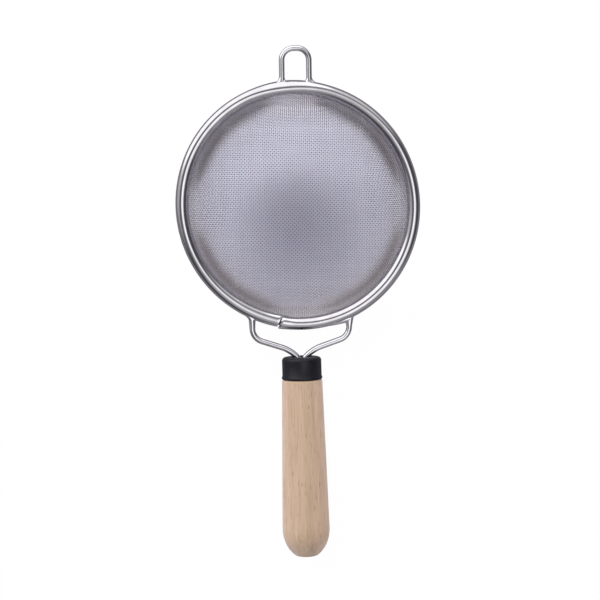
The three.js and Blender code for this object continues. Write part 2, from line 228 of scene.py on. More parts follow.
shaped = np.stack([radius * np.cos(turn), radius * np.sin(turn), height], 1)
for vertex, place in zip(rim.data.vertices, shaped):
    vertex.co = place
print(f"roll up to {height.max() / MM:.2f} mm over its middle")
print(f"rim up to {radius.max() / MM:.2f} mm from the bowl's axis")

# %% [markdown]
# Solidify gives the strip its thickness on both sides of the line, and a bevel breaks its edges, as shears
# and rollers do. No rim comes off the rollers quite round, so one matrix makes this one oval by less than a
# millimetre and sets it slightly off centre, and the net with it later.

# %% Thicken the strip and make it oval
EDGE_BREAK = 0.12 * MM
EDGE_ANGLE = math.radians(50)
OVAL_LONG = 1.006
OVAL_SHORT = 0.986
OVAL_TURN = math.radians(116)
OFF_CENTRE = Vector((0.18, -0.31, 0)) * MM

apply_modifier(rim, "SOLIDIFY", thickness=STRIP, offset=0)
apply_modifier(rim, "BEVEL", width=EDGE_BREAK, segments=2, limit_method="ANGLE", angle_limit=EDGE_ANGLE)
bpy.ops.object.mode_set(mode="EDIT")
close_and_smooth(rim, sharp_degrees=35)

oval_turn = Matrix.Rotation(OVAL_TURN, 4, "Z")
oval = oval_turn @ Matrix.Diagonal((OVAL_LONG, OVAL_SHORT, 1, 1)) @ oval_turn.inverted()
oval.translation = OFF_CENTRE
rim.data.transform(oval)
hand_over(rim, "rim_band")

# %% [markdown]
# ## The net
# The net is a plain weave of thin wires pressed into a bowl. Wires don't stretch, so the squares of the
# weave lean into diamonds on the way up the wall, most of all on the diagonals. A cloth tool or a projected
# grid would not keep the lengths. So the crossings are worked out one by one: each lies one pitch from the
# two before it, starting from the two straight wires that cross in the middle of the floor. This is the one
# piece that isn't grown from a circle in edit mode.

# %% Shape of the bowl
NET_OFFSET = 1.75 * MM
FLOOR_RADIUS = 66 * MM
FLOOR_ANGLE = math.radians(25)

wall_start_radius = ROLL_CIRCLE - NET_OFFSET * math.sin(WALL_ANGLE) - LEG_LENGTH * math.cos(WALL_ANGLE)
wall_start_height = NET_OFFSET * math.cos(WALL_ANGLE) - LEG_LENGTH * math.sin(WALL_ANGLE)
floor_end_radius = FLOOR_RADIUS * math.sin(FLOOR_ANGLE)
side_radius = (wall_start_radius - floor_end_radius) / (math.sin(WALL_ANGLE) - math.sin(FLOOR_ANGLE))
floor_length = FLOOR_RADIUS * FLOOR_ANGLE
side_length = side_radius * (WALL_ANGLE - FLOOR_ANGLE)
net_reach = floor_length + side_length + LEG_LENGTH
floor_end_height = wall_start_height - side_radius * (math.cos(FLOOR_ANGLE) - math.cos(WALL_ANGLE))
floor_height = floor_end_height - FLOOR_RADIUS * (1 - math.cos(FLOOR_ANGLE))


def bowl_at(length):
    """Radius, height and slope of the net at a length along it from the middle of the floor."""
    if length < floor_length:
        slope = length / FLOOR_RADIUS
        return FLOOR_RADIUS * math.sin(slope), floor_height + FLOOR_RADIUS * (1 - math.cos(slope)), slope
    if length < floor_length + side_length:
        slope = FLOOR_ANGLE + (length - floor_length) / side_radius
        across = floor_end_radius + side_radius * (math.sin(slope) - math.sin(FLOOR_ANGLE))
        return across, floor_end_height + side_radius * (math.cos(FLOOR_ANGLE) - math.cos(slope)), slope
    rise = length - floor_length - side_length
    across = wall_start_radius + rise * math.cos(WALL_ANGLE)
    return across, wall_start_height + rise * math.sin(WALL_ANGLE), WALL_ANGLE


def net_place(length, turn, lift=0.0):
    """A place on the net, lifted towards the inside of the bowl."""
    across, height, slope = bowl_at(length)
    across -= lift * math.sin(slope)
    return np.array([across * math.cos(turn), across * math.sin(turn), height + lift * math.cos(slope)])


print(f"bowl {-floor_height / MM:.1f} mm deep, {net_reach / MM:.1f} mm of net from the middle to the rim")

# %% [markdown]
# Newton's method moves a guess along and around the bowl until it is one pitch away from both neighbours.
# Only a quarter of the bowl has to be solved, because the others mirror it.

# %% Find the crossings of the wires
NET_PITCH = 1.0 * MM
NEWTON_STEPS = 7


def next_crossing(left, below, length, turn):
    """Length and turn of the crossing one pitch from both of its neighbours, and the lean of its cell."""
    for _ in range(NEWTON_STEPS):
        across, _, slope = bowl_at(length)
        level = math.cos(slope)
        here = net_place(length, turn)
        outward = np.array([math.cos(turn) * level, math.sin(turn) * level, math.sin(slope)])
        around = across * np.array([-math.sin(turn), math.cos(turn), 0])
        gaps = np.array([here - left, here - below])
        misses = (NET_PITCH**2 - (gaps**2).sum(1)) / 2
        step = np.linalg.solve(np.stack([gaps @ outward, gaps @ around], 1), misses)
        length += step[0]
        turn += step[1]
    return length, turn, gaps[0] @ gaps[1] / NET_PITCH**2


def quarter_of_net():
    """Length, turn and lean of each crossing in a quarter of the bowl, by its counts along and across."""
    count = int(net_reach / NET_PITCH) + 2
    quarter = {}
    for i in range(count):
        for j in range(count):
            if i == 0 or j == 0:
                quarter[i, j] = ((i + j) * NET_PITCH, math.pi / 2 if i == 0 else 0.0, 0.0)
                continue
            before = [quarter.get((i - 1, j)), quarter.get((i, j - 1))]
            if None in before or min(node[0] for node in before) > net_reach:
                continue
            left, below = (net_place(*node[:2]) for node in before)
            behind = quarter[i - 1, j - 1]
            guess = left + below - net_place(*behind[:2])
            length = before[0][0] + before[1][0] - behind[0]
            quarter[i, j] = next_crossing(left, below, length, math.atan2(guess[1], guess[0]))
    return quarter


quarter = quarter_of_net()
wire_count = max(i for i, _ in quarter)
most_lean = max(node[2] for node in quarter.values() if node[0] < net_reach)
print(f"{len(quarter)} crossings in a quarter, with a lean of up to {most_lean:.2f}")
print(f"{2 * wire_count + 1} wires each way")

# %% [markdown]
# Each wire goes through its crossings, over one wire and under the next. Every point also gets four shares
# that the net's material reads later: its lift, how crowded the wires are there, its climb up the wall, and
# how far it lies towards the shaded side of the bowl. The crowding thickens the wires and drives a painted
# shade on the wall. It is highest on the diagonals and eases off under the lip, which lightens that painted
# shade there.

# %% Follow a wire over and under
CRIMP = 0.19 * MM
CROWDED_LEAN = (0.10, 0.32)
CROWDED_WALL = (51.5 * MM, 63 * MM)
# Lightens the painted shade of crowded wires under the lip, and makes them less thick there.
LIP_GLOW = 0.6
LIP_GLOW_WALL = (61 * MM, 67 * MM)
CLIMB = (40 * MM, 64 * MM)
SHADED_TURN = math.radians(305)


def crossing(i, j):
    """Length, turn and lean of any crossing of the net, from the quarter that was solved."""
    node = quarter.get((abs(i), abs(j)))
    if node is None:
        return None
    length, turn, lean = node
    return length, math.atan2(math.copysign(math.sin(turn), j), math.copysign(math.cos(turn), i)), lean


def share_between(value, limits):
    """Rises softly from 0 at the first limit to 1 at the second."""
    return ease((value - limits[0]) / (limits[1] - limits[0]))


def wire_points(cells, first_over):
    """Points along one wire. Each has its lift (1 over a wire, -1 under it), crowding, climb and shade."""
    points = []
    last = None
    for count, cell in enumerate(cells):
        node = crossing(*cell)
        if node is None:
            continue
        over = 1 if (count % 2 == 0) == first_over else -1
        length, turn, lean = node
        here = net_place(length, turn)
        lifted = net_place(length, turn, over * CRIMP)
        crowd = share_between(lean, CROWDED_LEAN) * share_between(length, CROWDED_WALL)
        crowd *= 1 - LIP_GLOW * share_between(length, LIP_GLOW_WALL)
        climb = share_between(length, CLIMB)
        shade = math.cos(turn - SHADED_TURN) * length / net_reach
        inside = length <= net_reach
        if last and (inside or last[1] <= net_reach):
            share = 0.5
            if not (inside and last[1] <= net_reach):
                share = (net_reach - last[1]) / (length - last[1])
            points.append((*(last[0] + (here - last[0]) * share), 0, crowd, climb, shade))
        if inside:
            points.append((*lifted, over, crowd, climb, shade))
        last = here, length
    return points

# %% [markdown]
# A curve with a bevel depth makes a round wire, and converting the curves gives plain meshes. One woven
# patch could also be repeated, but it wouldn't follow the lean of the cells. Crowded wires are drawn
# thicker, because on the wall they close the gaps between them. Wires that run the same way and are in step
# share a piece, so the net is four pieces.

# %% Weave the net
NET_WIRE = 0.4 * MM
WIRE_SIDES = 4
CROWDED_THICKER = 0.4
FEWEST_POINTS = 4


def weave(name, wires):
    """Makes one piece of net from wires, and keeps what is known of each point as attributes."""
    bpy.ops.object.select_all(action="DESELECT")
    curve = bpy.data.curves.new(name, "CURVE")
    curve.dimensions = "3D"
    curve.bevel_depth = NET_WIRE / 2
    curve.bevel_resolution = WIRE_SIDES // 2 - 2
    for points in wires:
        spline = curve.splines.new("POLY")
        spline.points.add(len(points) - 1)
        rows = np.array(points)
        spline.points.foreach_set("co", np.insert(rows[:, :3], 3, 1, axis=1).ravel())
        spline.points.foreach_set("radius", 1 + CROWDED_THICKER * rows[:, 4])
    piece = bpy.data.objects.new(name, curve)
    bpy.context.collection.objects.link(piece)
    bpy.context.view_layer.objects.active = piece
    piece.select_set(True)
    bpy.ops.object.convert(target="MESH")
    piece = bpy.context.object
    for column, word in ((3, "lift"), (4, "crowd"), (5, "climb"), (6, "shade")):
        values = np.repeat([point[column] for points in wires for point in points], WIRE_SIDES)
        stored = piece.data.attributes.new(word, "FLOAT", "POINT")
        stored.data.foreach_set("value", values.astype(np.float32))
    return piece


counts = range(-wire_count, wire_count + 1)
net = []
for way in ("warp", "weft"):
    for parity in (0, 1):
        wires = []
        for i in counts:
            if i % 2 != parity:
                continue
            cells = [(i, j) if way == "warp" else (j, i) for j in counts]
            points = wire_points(cells, (parity == 0) == (way == "warp"))
            if len(points) >= FEWEST_POINTS:
                wires.append(points)
        piece = weave(f"net_{way}_{'ab'[parity]}", wires)
        piece.data.transform(oval)
        hand_over(piece, "mesh_bowl")
        net.append(piece)

# %% [markdown]
# ## Bent wires
# The rest loop and the two arms of the fork are bent from thick wire. A bench bender pushes the wire
# straight on and swings it round a former, and extrude and spin do the same to a ring of edges. A plan with
# corners is first turned into those runs and bends. A curve with a bevel would be quicker, but here the
# rings can lie close together next to a weld, where the wire swells.

# %% Turn a plan into runs and bends, and pull a wire through them
WIRE_RING = 32
BEND_STEPS_PER_RADIAN = 14
FEWEST_BEND_STEPS = 8
WELD_STEPS = 30
WELD_RUN = 6 * MM


def bends_of(corners):
    """Runs and bends along a flat path. Each corner is (x, y, bend radius)."""
    flat = [Vector(corner[:2]) for corner in corners]
    moves = []
    used = 0.0
    for k in range(1, len(corners)):
        run = flat[k] - flat[k - 1]
        turn, setback = 0.0, 0.0
        if k < len(corners) - 1:
            turn = -run.angle_signed(flat[k + 1] - flat[k])
            setback = corners[k][2] * math.tan(abs(turn) / 2)
        moves.append(("run", run.length - used - setback, 0.0))
        if turn:
            moves.append(("bend", corners[k][2], turn))
        used = setback
    return moves


def pull_wire(name, corners, diameter, welded_ends):
    """Pulls a ring of edges along a flat path, with short steps at a welded start and end."""
    here = Vector((*corners[0][:2], 0))
    heading = math.atan2(corners[1][1] - corners[0][1], corners[1][0] - corners[0][0])
    piece = new_circle(name, WIRE_RING, diameter / 2, here, (math.pi / 2, 0, heading - math.pi / 2))
    moves = bends_of(corners)
    for k, (kind, amount, turn) in enumerate(moves):
        ahead = Vector((math.cos(heading), math.sin(heading), 0))
        if kind == "bend":
            centre = here + math.copysign(amount, turn) * Vector((-ahead.y, ahead.x, 0))
            steps = max(FEWEST_BEND_STEPS, int(abs(turn) * BEND_STEPS_PER_RADIAN))
            bpy.ops.mesh.spin(steps=steps, angle=-turn, center=centre, axis=(0, 0, 1))
            here = centre + Matrix.Rotation(turn, 3, "Z") @ (here - centre)
            heading += turn
            continue
        starts = k == 0 and "start" in welded_ends
        ends = k == len(moves) - 1 and "end" in welded_ends
        fine = min(WELD_RUN, amount / 2)
        lengths = [fine / WELD_STEPS] * (WELD_STEPS * starts) + [amount - fine * (starts + ends)]
        lengths += [fine / WELD_STEPS] * (WELD_STEPS * ends)
        for length in lengths:
            push(ahead * length)
            here = here + ahead * length
    return piece

# %% [markdown]
# A weld fills the corner between the wire and the rim with a fillet. Each point of the wire that is close
# to the roll is drawn out along the rim, further the closer it is, so that the wire runs into the roll in a
# curve. A boolean union with a bevel could fill the corner too, but it leaves ragged edges where two round
# shapes meet.

# %% Let the wire ends run into the rim
WELD_SWELL = 0.25


def swell_welds(piece, foot_x, wire_radius, inner_reach, outer_reach):
    """Draws welded ends out along the rim, with one reach between the feet and one outside them."""
    round_again = oval.inverted()
    for vertex in piece.data.vertices:
        x, y, z = vertex.co
        across = (round_again @ vertex.co).xy.length
        gap = max(math.hypot(across - ROLL_CIRCLE, z) - ROLL_OUTSIDE, 0)
        side = max(-1, min(1, (abs(x) - foot_x) / wire_radius))
        reach = outer_reach if side > 0 else inner_reach
        if gap >= reach:
            continue
        drawn = math.copysign(side, side * x) * reach * (1 - math.sqrt(1 - (1 - gap / reach) ** 2))
        vertex.co.z = z * (1 + WELD_SWELL * abs(drawn) / wire_radius)
        vertex.co = Matrix.Rotation(-math.copysign(drawn / across, y * drawn), 3, "Z") @ vertex.co


def roll_middle_at(x):
    return math.sqrt(ROLL_CIRCLE**2 - x**2)

# %% [markdown]
# ## The rest loop
# The loop is one wire bent twice, with both ends welded to the rim opposite the handle. It was welded by
# hand, so it sits a little to one side.

# %% Bend the rest loop
LOOP_WIRE = 2.7 * MM
LOOP_WIDTH = 15.6 * MM
LOOP_REACH = 16.45 * MM
LOOP_CORNER = 5.6 * MM
LOOP_TURN = math.radians(-0.65)
LOOP_FILLET_INSIDE = 1.7 * MM
LOOP_FILLET_OUTSIDE = 2.5 * MM

loop_x = (LOOP_WIDTH - LOOP_WIRE) / 2
loop_top = RIM_RADIUS + LOOP_REACH - LOOP_WIRE / 2
loop_plan = [
    (-loop_x, roll_middle_at(loop_x)),
    (-loop_x, loop_top, LOOP_CORNER),
    (loop_x, loop_top, LOOP_CORNER),
    (loop_x, roll_middle_at(loop_x)),
]
loop = pull_wire("rest_loop", loop_plan, LOOP_WIRE, ("start", "end"))
close_and_smooth(loop, sharp_degrees=50)
swell_welds(loop, loop_x, LOOP_WIRE / 2, LOOP_FILLET_INSIDE, LOOP_FILLET_OUTSIDE)
loop.data.transform(Matrix.Rotation(LOOP_TURN, 4, "Z"))
hand_over(loop, "front_loop")

# %% [markdown]
# ## The fork
# Each arm leaves the rim straight back, bends in at the shoulder, sweeps towards the ferrule, and bends
# back once more inside it, so that both run side by side into the handle as tangs. One plan serves both
# arms, with x turned round for the left one.

# %% Bend the fork arms
FORK_WIRE = 2.8 * MM
FORK_SPAN = 46.4 * MM
FORK_SLOPE = math.radians(18.5)
FORK_SHOULDER = 6.6 * MM
FORK_SWEEP = 18 * MM
FORK_FLARE = 3.45 * MM
FORK_MOUTH = 2.05 * MM
FORK_NECK = 3 * MM
TANG_SPACING = 3.1 * MM
TANG_DEPTH = 42 * MM
FORK_FILLET_INSIDE = 0.6 * MM
FORK_FILLET_OUTSIDE = 2.2 * MM

foot_x = FORK_SPAN / 2
tang_x = TANG_SPACING / 2
sweep_x = FORK_MOUTH + FORK_FLARE
sweep_y = ferrule_end + FORK_FLARE
arms = []
for side, word in ((-1, "left"), (1, "right")):
    arm_plan = [
        (side * foot_x, -roll_middle_at(foot_x)),
        (side * foot_x, sweep_y + (foot_x - sweep_x) * math.tan(FORK_SLOPE), FORK_SHOULDER),
        (side * sweep_x, sweep_y, FORK_SWEEP),
        (side * tang_x, ferrule_end - FORK_MOUTH + tang_x, FORK_NECK),
        (side * tang_x, ferrule_end - TANG_DEPTH),
    ]
    arm = pull_wire(f"fork_{word}", arm_plan, FORK_WIRE, ("start",))
    close_and_smooth(arm, sharp_degrees=50)
    swell_welds(arm, foot_x, FORK_WIRE / 2, FORK_FILLET_INSIDE, FORK_FILLET_OUTSIDE)
    hand_over(arm, f"fork_arm_{word}")
    arms.append(arm)

# %% [markdown]
# On the right arm the filler has run a long way along the rim. It is a ring spun round the bowl like the
# rim, and then sunk into the roll little by little, so that it tapers away to nothing.

# %% Run the filler along the rim
RUN_RADIUS = 1.75 * MM
RUN_REACH = 2.3 * MM
RUN_TURN = math.radians(18)
RUN_SINK = 0.1 * MM
RUN_SIDES = 24
RUN_STEPS = 24

run_start = math.asin(foot_x / RIM_RADIUS) - math.pi / 2
run_circle = RIM_RADIUS + RUN_REACH - RUN_RADIUS
filler = new_circle("weld_run", RUN_SIDES, RUN_RADIUS, (run_circle, 0, 0), (math.pi / 2, 0, 0))
bpy.ops.mesh.spin(steps=RUN_STEPS, angle=RUN_TURN, center=(0, 0, 0), axis=(0, 0, 1))
close_and_smooth(filler, sharp_degrees=50)
for vertex in filler.data.vertices:
    turn = math.atan2(vertex.co.y, vertex.co.x)
    sunk = (RUN_REACH + RUN_SINK) * -turn / RUN_TURN
    across = math.hypot(vertex.co.x, vertex.co.y) - sunk
    vertex.co.xy = across * math.cos(run_start + turn), across * math.sin(run_start + turn)
hand_over(filler, "fork_arm_right")
arms.append(filler)

# %% [markdown]
# ## Turned pieces
# The ferrule and the handle are round about the tool's long axis. A ring is pushed along that axis from
# station to station and scaled to the width there, which is how a lathe profile is read off a drawing.

# %% Grow a turned piece from station to station
TURNED_SIDES = 96


def turn_piece(name, stations):
    """Grows a piece along Y. Each station is (y, half its width, half its height)."""
    y, wide, high = stations[0]
    piece = new_circle(name, TURNED_SIDES, 1, (0, y, 0), (math.pi / 2, 0, 0))
    bpy.ops.transform.resize(value=(wide, 1, high), center_override=(0, y, 0))
    for next_y, next_wide, next_high in stations[1:]:
        push((0, next_y - y, 0))
        scale = (next_wide / wide, 1, next_high / high)
        bpy.ops.transform.resize(value=scale, center_override=(0, next_y, 0))
        y, wide, high = next_y, next_wide, next_high
    return piece


def arc_stations(y, radius, bend, from_angle, to_angle, steps):
    """Round stations along an arc about a ring of this radius at y."""
    stations = []
    for angle in np.radians(np.linspace(from_angle, to_angle, steps + 1)):
        width = radius + bend * math.cos(angle)
        stations.append((y + bend * math.sin(angle), width, width))
    return stations

# %% [markdown]
# ## The ferrule
# The ferrule is a moulded cap. Its profile starts at the slot inside the end wall, runs out along that
# wall, down the inside, over the lip, up the outside, round the soft front corner, and back into the slot,
# so the last ring meets the first one and the merge closes the shell. A spin would only make round rings,
# and the slot is wider than it is high.

# %% Mould the ferrule
FERRULE_RADIUS = 9.45 * MM
FERRULE_WALL = 1.6 * MM
FERRULE_END_WALL = 2.6 * MM
FERRULE_CORNER = 1.7 * MM
FERRULE_SIDE_END = 2.89 * MM
LIP_LENGTH = 1.4 * MM
LIP_HEIGHT = 0.3 * MM
LIP_ROUND = 0.25 * MM
FIT = 0.3 * MM
SLOT_WIDTH = 8.4 * MM
SLOT_HEIGHT = 4.0 * MM
SLOT_EDGE = 0.45 * MM

wall_back = ferrule_end - FERRULE_END_WALL
skirt = handle_neck + FIT
socket_radius = FERRULE_RADIUS - FERRULE_WALL
lip = FERRULE_RADIUS + LIP_HEIGHT
corner_radius = FERRULE_RADIUS - FERRULE_CORNER
ferrule_stations = [
    (wall_back, SLOT_WIDTH / 2, SLOT_HEIGHT / 2),
    (wall_back, socket_radius, socket_radius),
    (skirt, socket_radius, socket_radius),
    *arc_stations(skirt + LIP_ROUND, lip - LIP_ROUND, LIP_ROUND, -90, 0, 4),
    (skirt + LIP_LENGTH - 2 * LIP_HEIGHT, lip, lip),
    (skirt + LIP_LENGTH - LIP_HEIGHT, lip - LIP_HEIGHT / 3, lip - LIP_HEIGHT / 3),
    (skirt + LIP_LENGTH, FERRULE_RADIUS, FERRULE_RADIUS),
    (ferrule_end - FERRULE_SIDE_END, FERRULE_RADIUS, FERRULE_RADIUS),
    *arc_stations(ferrule_end - FERRULE_CORNER, corner_radius, FERRULE_CORNER, 0, 90, 10),
    (ferrule_end, SLOT_WIDTH / 2 + SLOT_EDGE, SLOT_HEIGHT / 2 + SLOT_EDGE),
    (ferrule_end - SLOT_EDGE / 3, SLOT_WIDTH / 2 + SLOT_EDGE / 3, SLOT_HEIGHT / 2 + SLOT_EDGE / 3),
    (ferrule_end - SLOT_EDGE, SLOT_WIDTH / 2, SLOT_HEIGHT / 2),
    (wall_back, SLOT_WIDTH / 2, SLOT_HEIGHT / 2),
]
ferrule = turn_piece("ferrule_cap", ferrule_stations)
close_and_smooth(ferrule, sharp_degrees=40)
hand_over(ferrule, "ferrule")

# %% [markdown]
# ## The handle
# The handle is turned from one piece of beech. It widens slowly towards the butt, which is rounded and then
# cut flat at its end. A small chamfer at the neck catches the light next to the ferrule, and a spigot goes
# on into the ferrule. A profile could also be spun about the axis, but stations match the way the ferrule
# was made.

# %% Turn the handle
NECK_RADIUS = 9.7 * MM
BUTT_RADIUS = 11.39 * MM
NECK_CHAMFER = 0.6 * MM
BUTT_CURVE = 14.7 * MM
BUTT_FLAT = 5.5 * MM
BUTT_CUT = 0.85 * MM
BUTT_STEPS = 24
BODY_STEPS = 12

butt_sweep = math.acos(BUTT_FLAT / BUTT_RADIUS)
curve_depth = BUTT_CURVE * math.sin(butt_sweep)
body_start = handle_end + BUTT_CUT + curve_depth
handle_stations = []
for angle in np.linspace(butt_sweep, 0, BUTT_STEPS + 1):
    width = BUTT_RADIUS * math.cos(angle)
    handle_stations.append((body_start - BUTT_CURVE * math.sin(angle), width, width))
body_end = handle_neck - NECK_CHAMFER
for share in np.linspace(0, 1, BODY_STEPS + 1)[1:]:
    width = BUTT_RADIUS + (NECK_RADIUS - BUTT_RADIUS) * share
    handle_stations.append((body_start + (body_end - body_start) * share, width, width))
spigot = socket_radius - FIT
handle_stations += [
    (handle_neck, NECK_RADIUS - NECK_CHAMFER, NECK_RADIUS - NECK_CHAMFER),
    (handle_neck, spigot, spigot),
    (wall_back - FIT, spigot, spigot),
]
handle = turn_piece("handle_grip", handle_stations)
close_and_smooth(handle, sharp_degrees=30)
hand_over(handle, "handle")

# %% [markdown]
# ## Materials
# The colours come from noise in object space, or from the shares that the net carries, so every finish has
# some life and none needs a picture.

# %% Helpers for node materials
def new_material(name):
    material = bpy.data.materials.new(name)
    material.use_nodes = True
    nodes = material.node_tree.nodes
    return material, nodes, material.node_tree.links, nodes["Principled BSDF"]


def add_node(nodes, kind, **sockets):
    """Adds a node and sets its sockets by name, with _ for a space."""
    node = nodes.new(kind)
    for socket, value in sockets.items():
        node.inputs[socket.replace("_", " ")].default_value = value
    return node


def ramp(nodes, stops):
    """A colour ramp from stops of (position, colour)."""
    node = nodes.new("ShaderNodeValToRGB")
    while len(node.color_ramp.elements) < len(stops):
        node.color_ramp.elements.new(0.5)
    for element, (position, colour) in zip(node.color_ramp.elements, stops):
        element.position = position
        element.color = (*colour, 1)
    return node


def tone(nodes, links, base, factor, stops):
    """Multiplies a colour by a ramp over a factor."""
    shade = ramp(nodes, stops)
    mixed = nodes.new("ShaderNodeMix")
    mixed.data_type = "RGBA"
    mixed.blend_type = "MULTIPLY"
    mixed.inputs["Factor"].default_value = 1.0
    links.new(factor, shade.inputs["Fac"])
    links.new(base, mixed.inputs["A"])
    links.new(shade.outputs["Color"], mixed.inputs["B"])
    return mixed.outputs["Result"]


def attribute(nodes, links, name, low, high):
    """An attribute of the mesh, scaled to run from 0 at low to 1 at high."""
    stored = nodes.new("ShaderNodeAttribute")
    stored.attribute_name = name
    share = add_node(nodes, "ShaderNodeMapRange", From_Min=low, From_Max=high)
    links.new(stored.outputs["Fac"], share.inputs["Value"])
    return share.outputs["Result"]


def dress(piece, material):
    piece.data.materials.clear()
    piece.data.materials.append(material)
    print(f"{piece.name} wears {material.name}")

# %% [markdown]
# The rim is polished, and the bent wires are drawn, so they are brighter and a little rougher. Steel has
# almost no pattern of its own and mirrors the room. One noise changes its tint and its roughness a little, as
# hand polishing does, which is enough where a picture of scratches would be too much. The hoop, which only
# shows through the seam, is rough and nearly black: painted shade for the inside of the roll.

# %% Steel for the rim and the bent wires
def steel(name, dark, light, smooth, rough, scale):
    """A metal whose tint runs from dark to light and its roughness from smooth to rough."""
    material, nodes, links, surface = new_material(name)
    place = nodes.new("ShaderNodeTexCoord")
    cloud = add_node(nodes, "ShaderNodeTexNoise", Scale=scale, Detail=4.0)
    tint = ramp(nodes, [(0.3, dark), (0.7, light)])
    gloss = add_node(nodes, "ShaderNodeMapRange", To_Min=smooth, To_Max=rough)
    links.new(place.outputs["Object"], cloud.inputs["Vector"])
    links.new(cloud.outputs["Fac"], tint.inputs["Fac"])
    links.new(cloud.outputs["Fac"], gloss.inputs["Value"])
    links.new(tint.outputs["Color"], surface.inputs["Base Color"])
    links.new(gloss.outputs["Result"], surface.inputs["Roughness"])
    surface.inputs["Metallic"].default_value = 1.0
    return material


polished = steel("polished_steel", (0.66, 0.64, 0.67), (0.755, 0.735, 0.765), 0.08, 0.14, scale=180.0)
dress(rim, polished)
drawn = steel("drawn_steel", (0.82, 0.80, 0.84), (0.92, 0.90, 0.94), 0.14, 0.22, scale=300.0)
for piece in (loop, *arms):
    dress(piece, drawn)
# Painted shade: the hoop sits in the dark inside the roll.
hoop_in_painted_shade = steel("hoop_steel_painted_dark", (0.05, 0.05, 0.055), (0.08, 0.08, 0.085), 0.4, 0.6, scale=900.0)
dress(frame["nodes"]["rim_core_hoop"], hoop_in_painted_shade)

# %% [markdown]
# The net wire is drawn and not polished, so it is rougher. The two ways of the weave don't look the same
# under one light, and that light is painted into the colours here: a painted highlight where the wires that
# run across the tool pass over, and painted shade on the wires that run along the tool there and where any
# wire passes under. That makes the fine chequers of a plain weave. Where the wires crowd together on the wall
# they shade each other, and that shade is painted as one uniform dark colour. Towards the rim they turn
# warmer. A last tint darkens one side of the bowl a little. That is shade and not the wire's own colour, but
# the lamps alone didn't give it. A noise couldn't follow the wires, so the shares that the weave left in the
# mesh drive all this.

# %% Steel for the net
# Painted shade: the uniform dark colour of wires crowded on the wall.
CROWDED_PAINTED_SHADE = (0.37, 0.348, 0.405, 1)
WARM_CLIMB = [(0.0, (1, 1, 1)), (1.0, (1.0, 0.97, 0.88))]
SHADED_SIDE = [(0.0, (0.965, 0.98, 1)), (0.5, (0.97, 0.97, 0.97)), (1.0, (0.83, 0.83, 0.83))]


def net_steel(name, under, beside, over):
    """Wire with one tint where it passes under, one beside and one over the wires that it crosses; these
    tints paint the weave's highlight and shade.
    """
    material, nodes, links, surface = new_material(name)
    lift = attribute(nodes, links, "lift", -1.0, 1.0)
    crowd = attribute(nodes, links, "crowd", 0.0, 1.0)
    climb = attribute(nodes, links, "climb", 0.0, 1.0)
    shade = attribute(nodes, links, "shade", -1.0, 1.0)
    # The tints over and under a crossing are painted highlight and painted shade.
    tint = ramp(nodes, [(0.0, under), (0.5, beside), (1.0, over)])
    links.new(lift, tint.inputs["Fac"])
    # Painted shade where the wires crowd on the wall.
    painted_crowd_shade = nodes.new("ShaderNodeMix")
    painted_crowd_shade.data_type = "RGBA"
    painted_crowd_shade.inputs["B"].default_value = CROWDED_PAINTED_SHADE
    links.new(crowd, painted_crowd_shade.inputs["Factor"])
    links.new(tint.outputs["Color"], painted_crowd_shade.inputs["A"])
    colour = tone(nodes, links, painted_crowd_shade.outputs["Result"], climb, WARM_CLIMB)
    colour = tone(nodes, links, colour, shade, SHADED_SIDE)
    links.new(colour, surface.inputs["Base Color"])
    surface.inputs["Metallic"].default_value = 0.5
    surface.inputs["Roughness"].default_value = 0.3
    return material


# Painted highlight where weft wires pass over, painted shade where warp wires pass over and where either
# passes under.
warp_steel = net_steel("warp_wire", (0.48, 0.46, 0.56), (0.68, 0.66, 0.80), (0.26, 0.25, 0.31))
weft_steel = net_steel("weft_wire", (0.38, 0.365, 0.45), (0.48, 0.465, 0.57), (0.96, 0.93, 1.0))
for piece in net:
    dress(piece, warp_steel if "warp" in piece.name else weft_steel)

# %% [markdown]
# The ferrule is black plastic with a soft gloss. One colour and one roughness would look like a drawing, so
# a fine noise varies both, as a worn mould does.

# %% Black plastic
plastic, nodes, links, surface = new_material("black_plastic")
place = nodes.new("ShaderNodeTexCoord")
cloud = add_node(nodes, "ShaderNodeTexNoise", Scale=700.0, Detail=5.0)
tint = ramp(nodes, [(0.3, (0.006, 0.0055, 0.009)), (0.7, (0.010, 0.0095, 0.014))])
gloss = add_node(nodes, "ShaderNodeMapRange", To_Min=0.3, To_Max=0.46)
links.new(place.outputs["Object"], cloud.inputs["Vector"])
links.new(cloud.outputs["Fac"], tint.inputs["Fac"])
links.new(cloud.outputs["Fac"], gloss.inputs["Value"])
links.new(tint.outputs["Color"], surface.inputs["Base Color"])
links.new(gloss.outputs["Result"], surface.inputs["Roughness"])
surface.inputs["Specular IOR Level"].default_value = 0.35
dress(ferrule, plastic)

# %% [markdown]
# Beech is pale and fine. Three noises, all stretched along the grain, make it: slow bands of tone, fine
# fibres, and the short dark flecks of its rays. A Mapping node turns the coordinates so that the grain runs
# along the tipped handle. A picture of wood would be simpler, but noise needs no file and has no seam.

# %% Beech
wood, nodes, links, surface = new_material("beech")
place = nodes.new("ShaderNodeTexCoord")
level = add_node(nodes, "ShaderNodeMapping", Rotation=(-tip_angle, 0, 0))
links.new(place.outputs["Object"], level.inputs["Vector"])


def grain(stretch, scale, detail):
    """A noise drawn out along the handle."""
    along = add_node(nodes, "ShaderNodeMapping", Scale=(1, stretch, 1))
    noise = add_node(nodes, "ShaderNodeTexNoise", Scale=scale, Detail=detail)
    links.new(level.outputs["Vector"], along.inputs["Vector"])
    links.new(along.outputs["Vector"], noise.inputs["Vector"])
    return noise


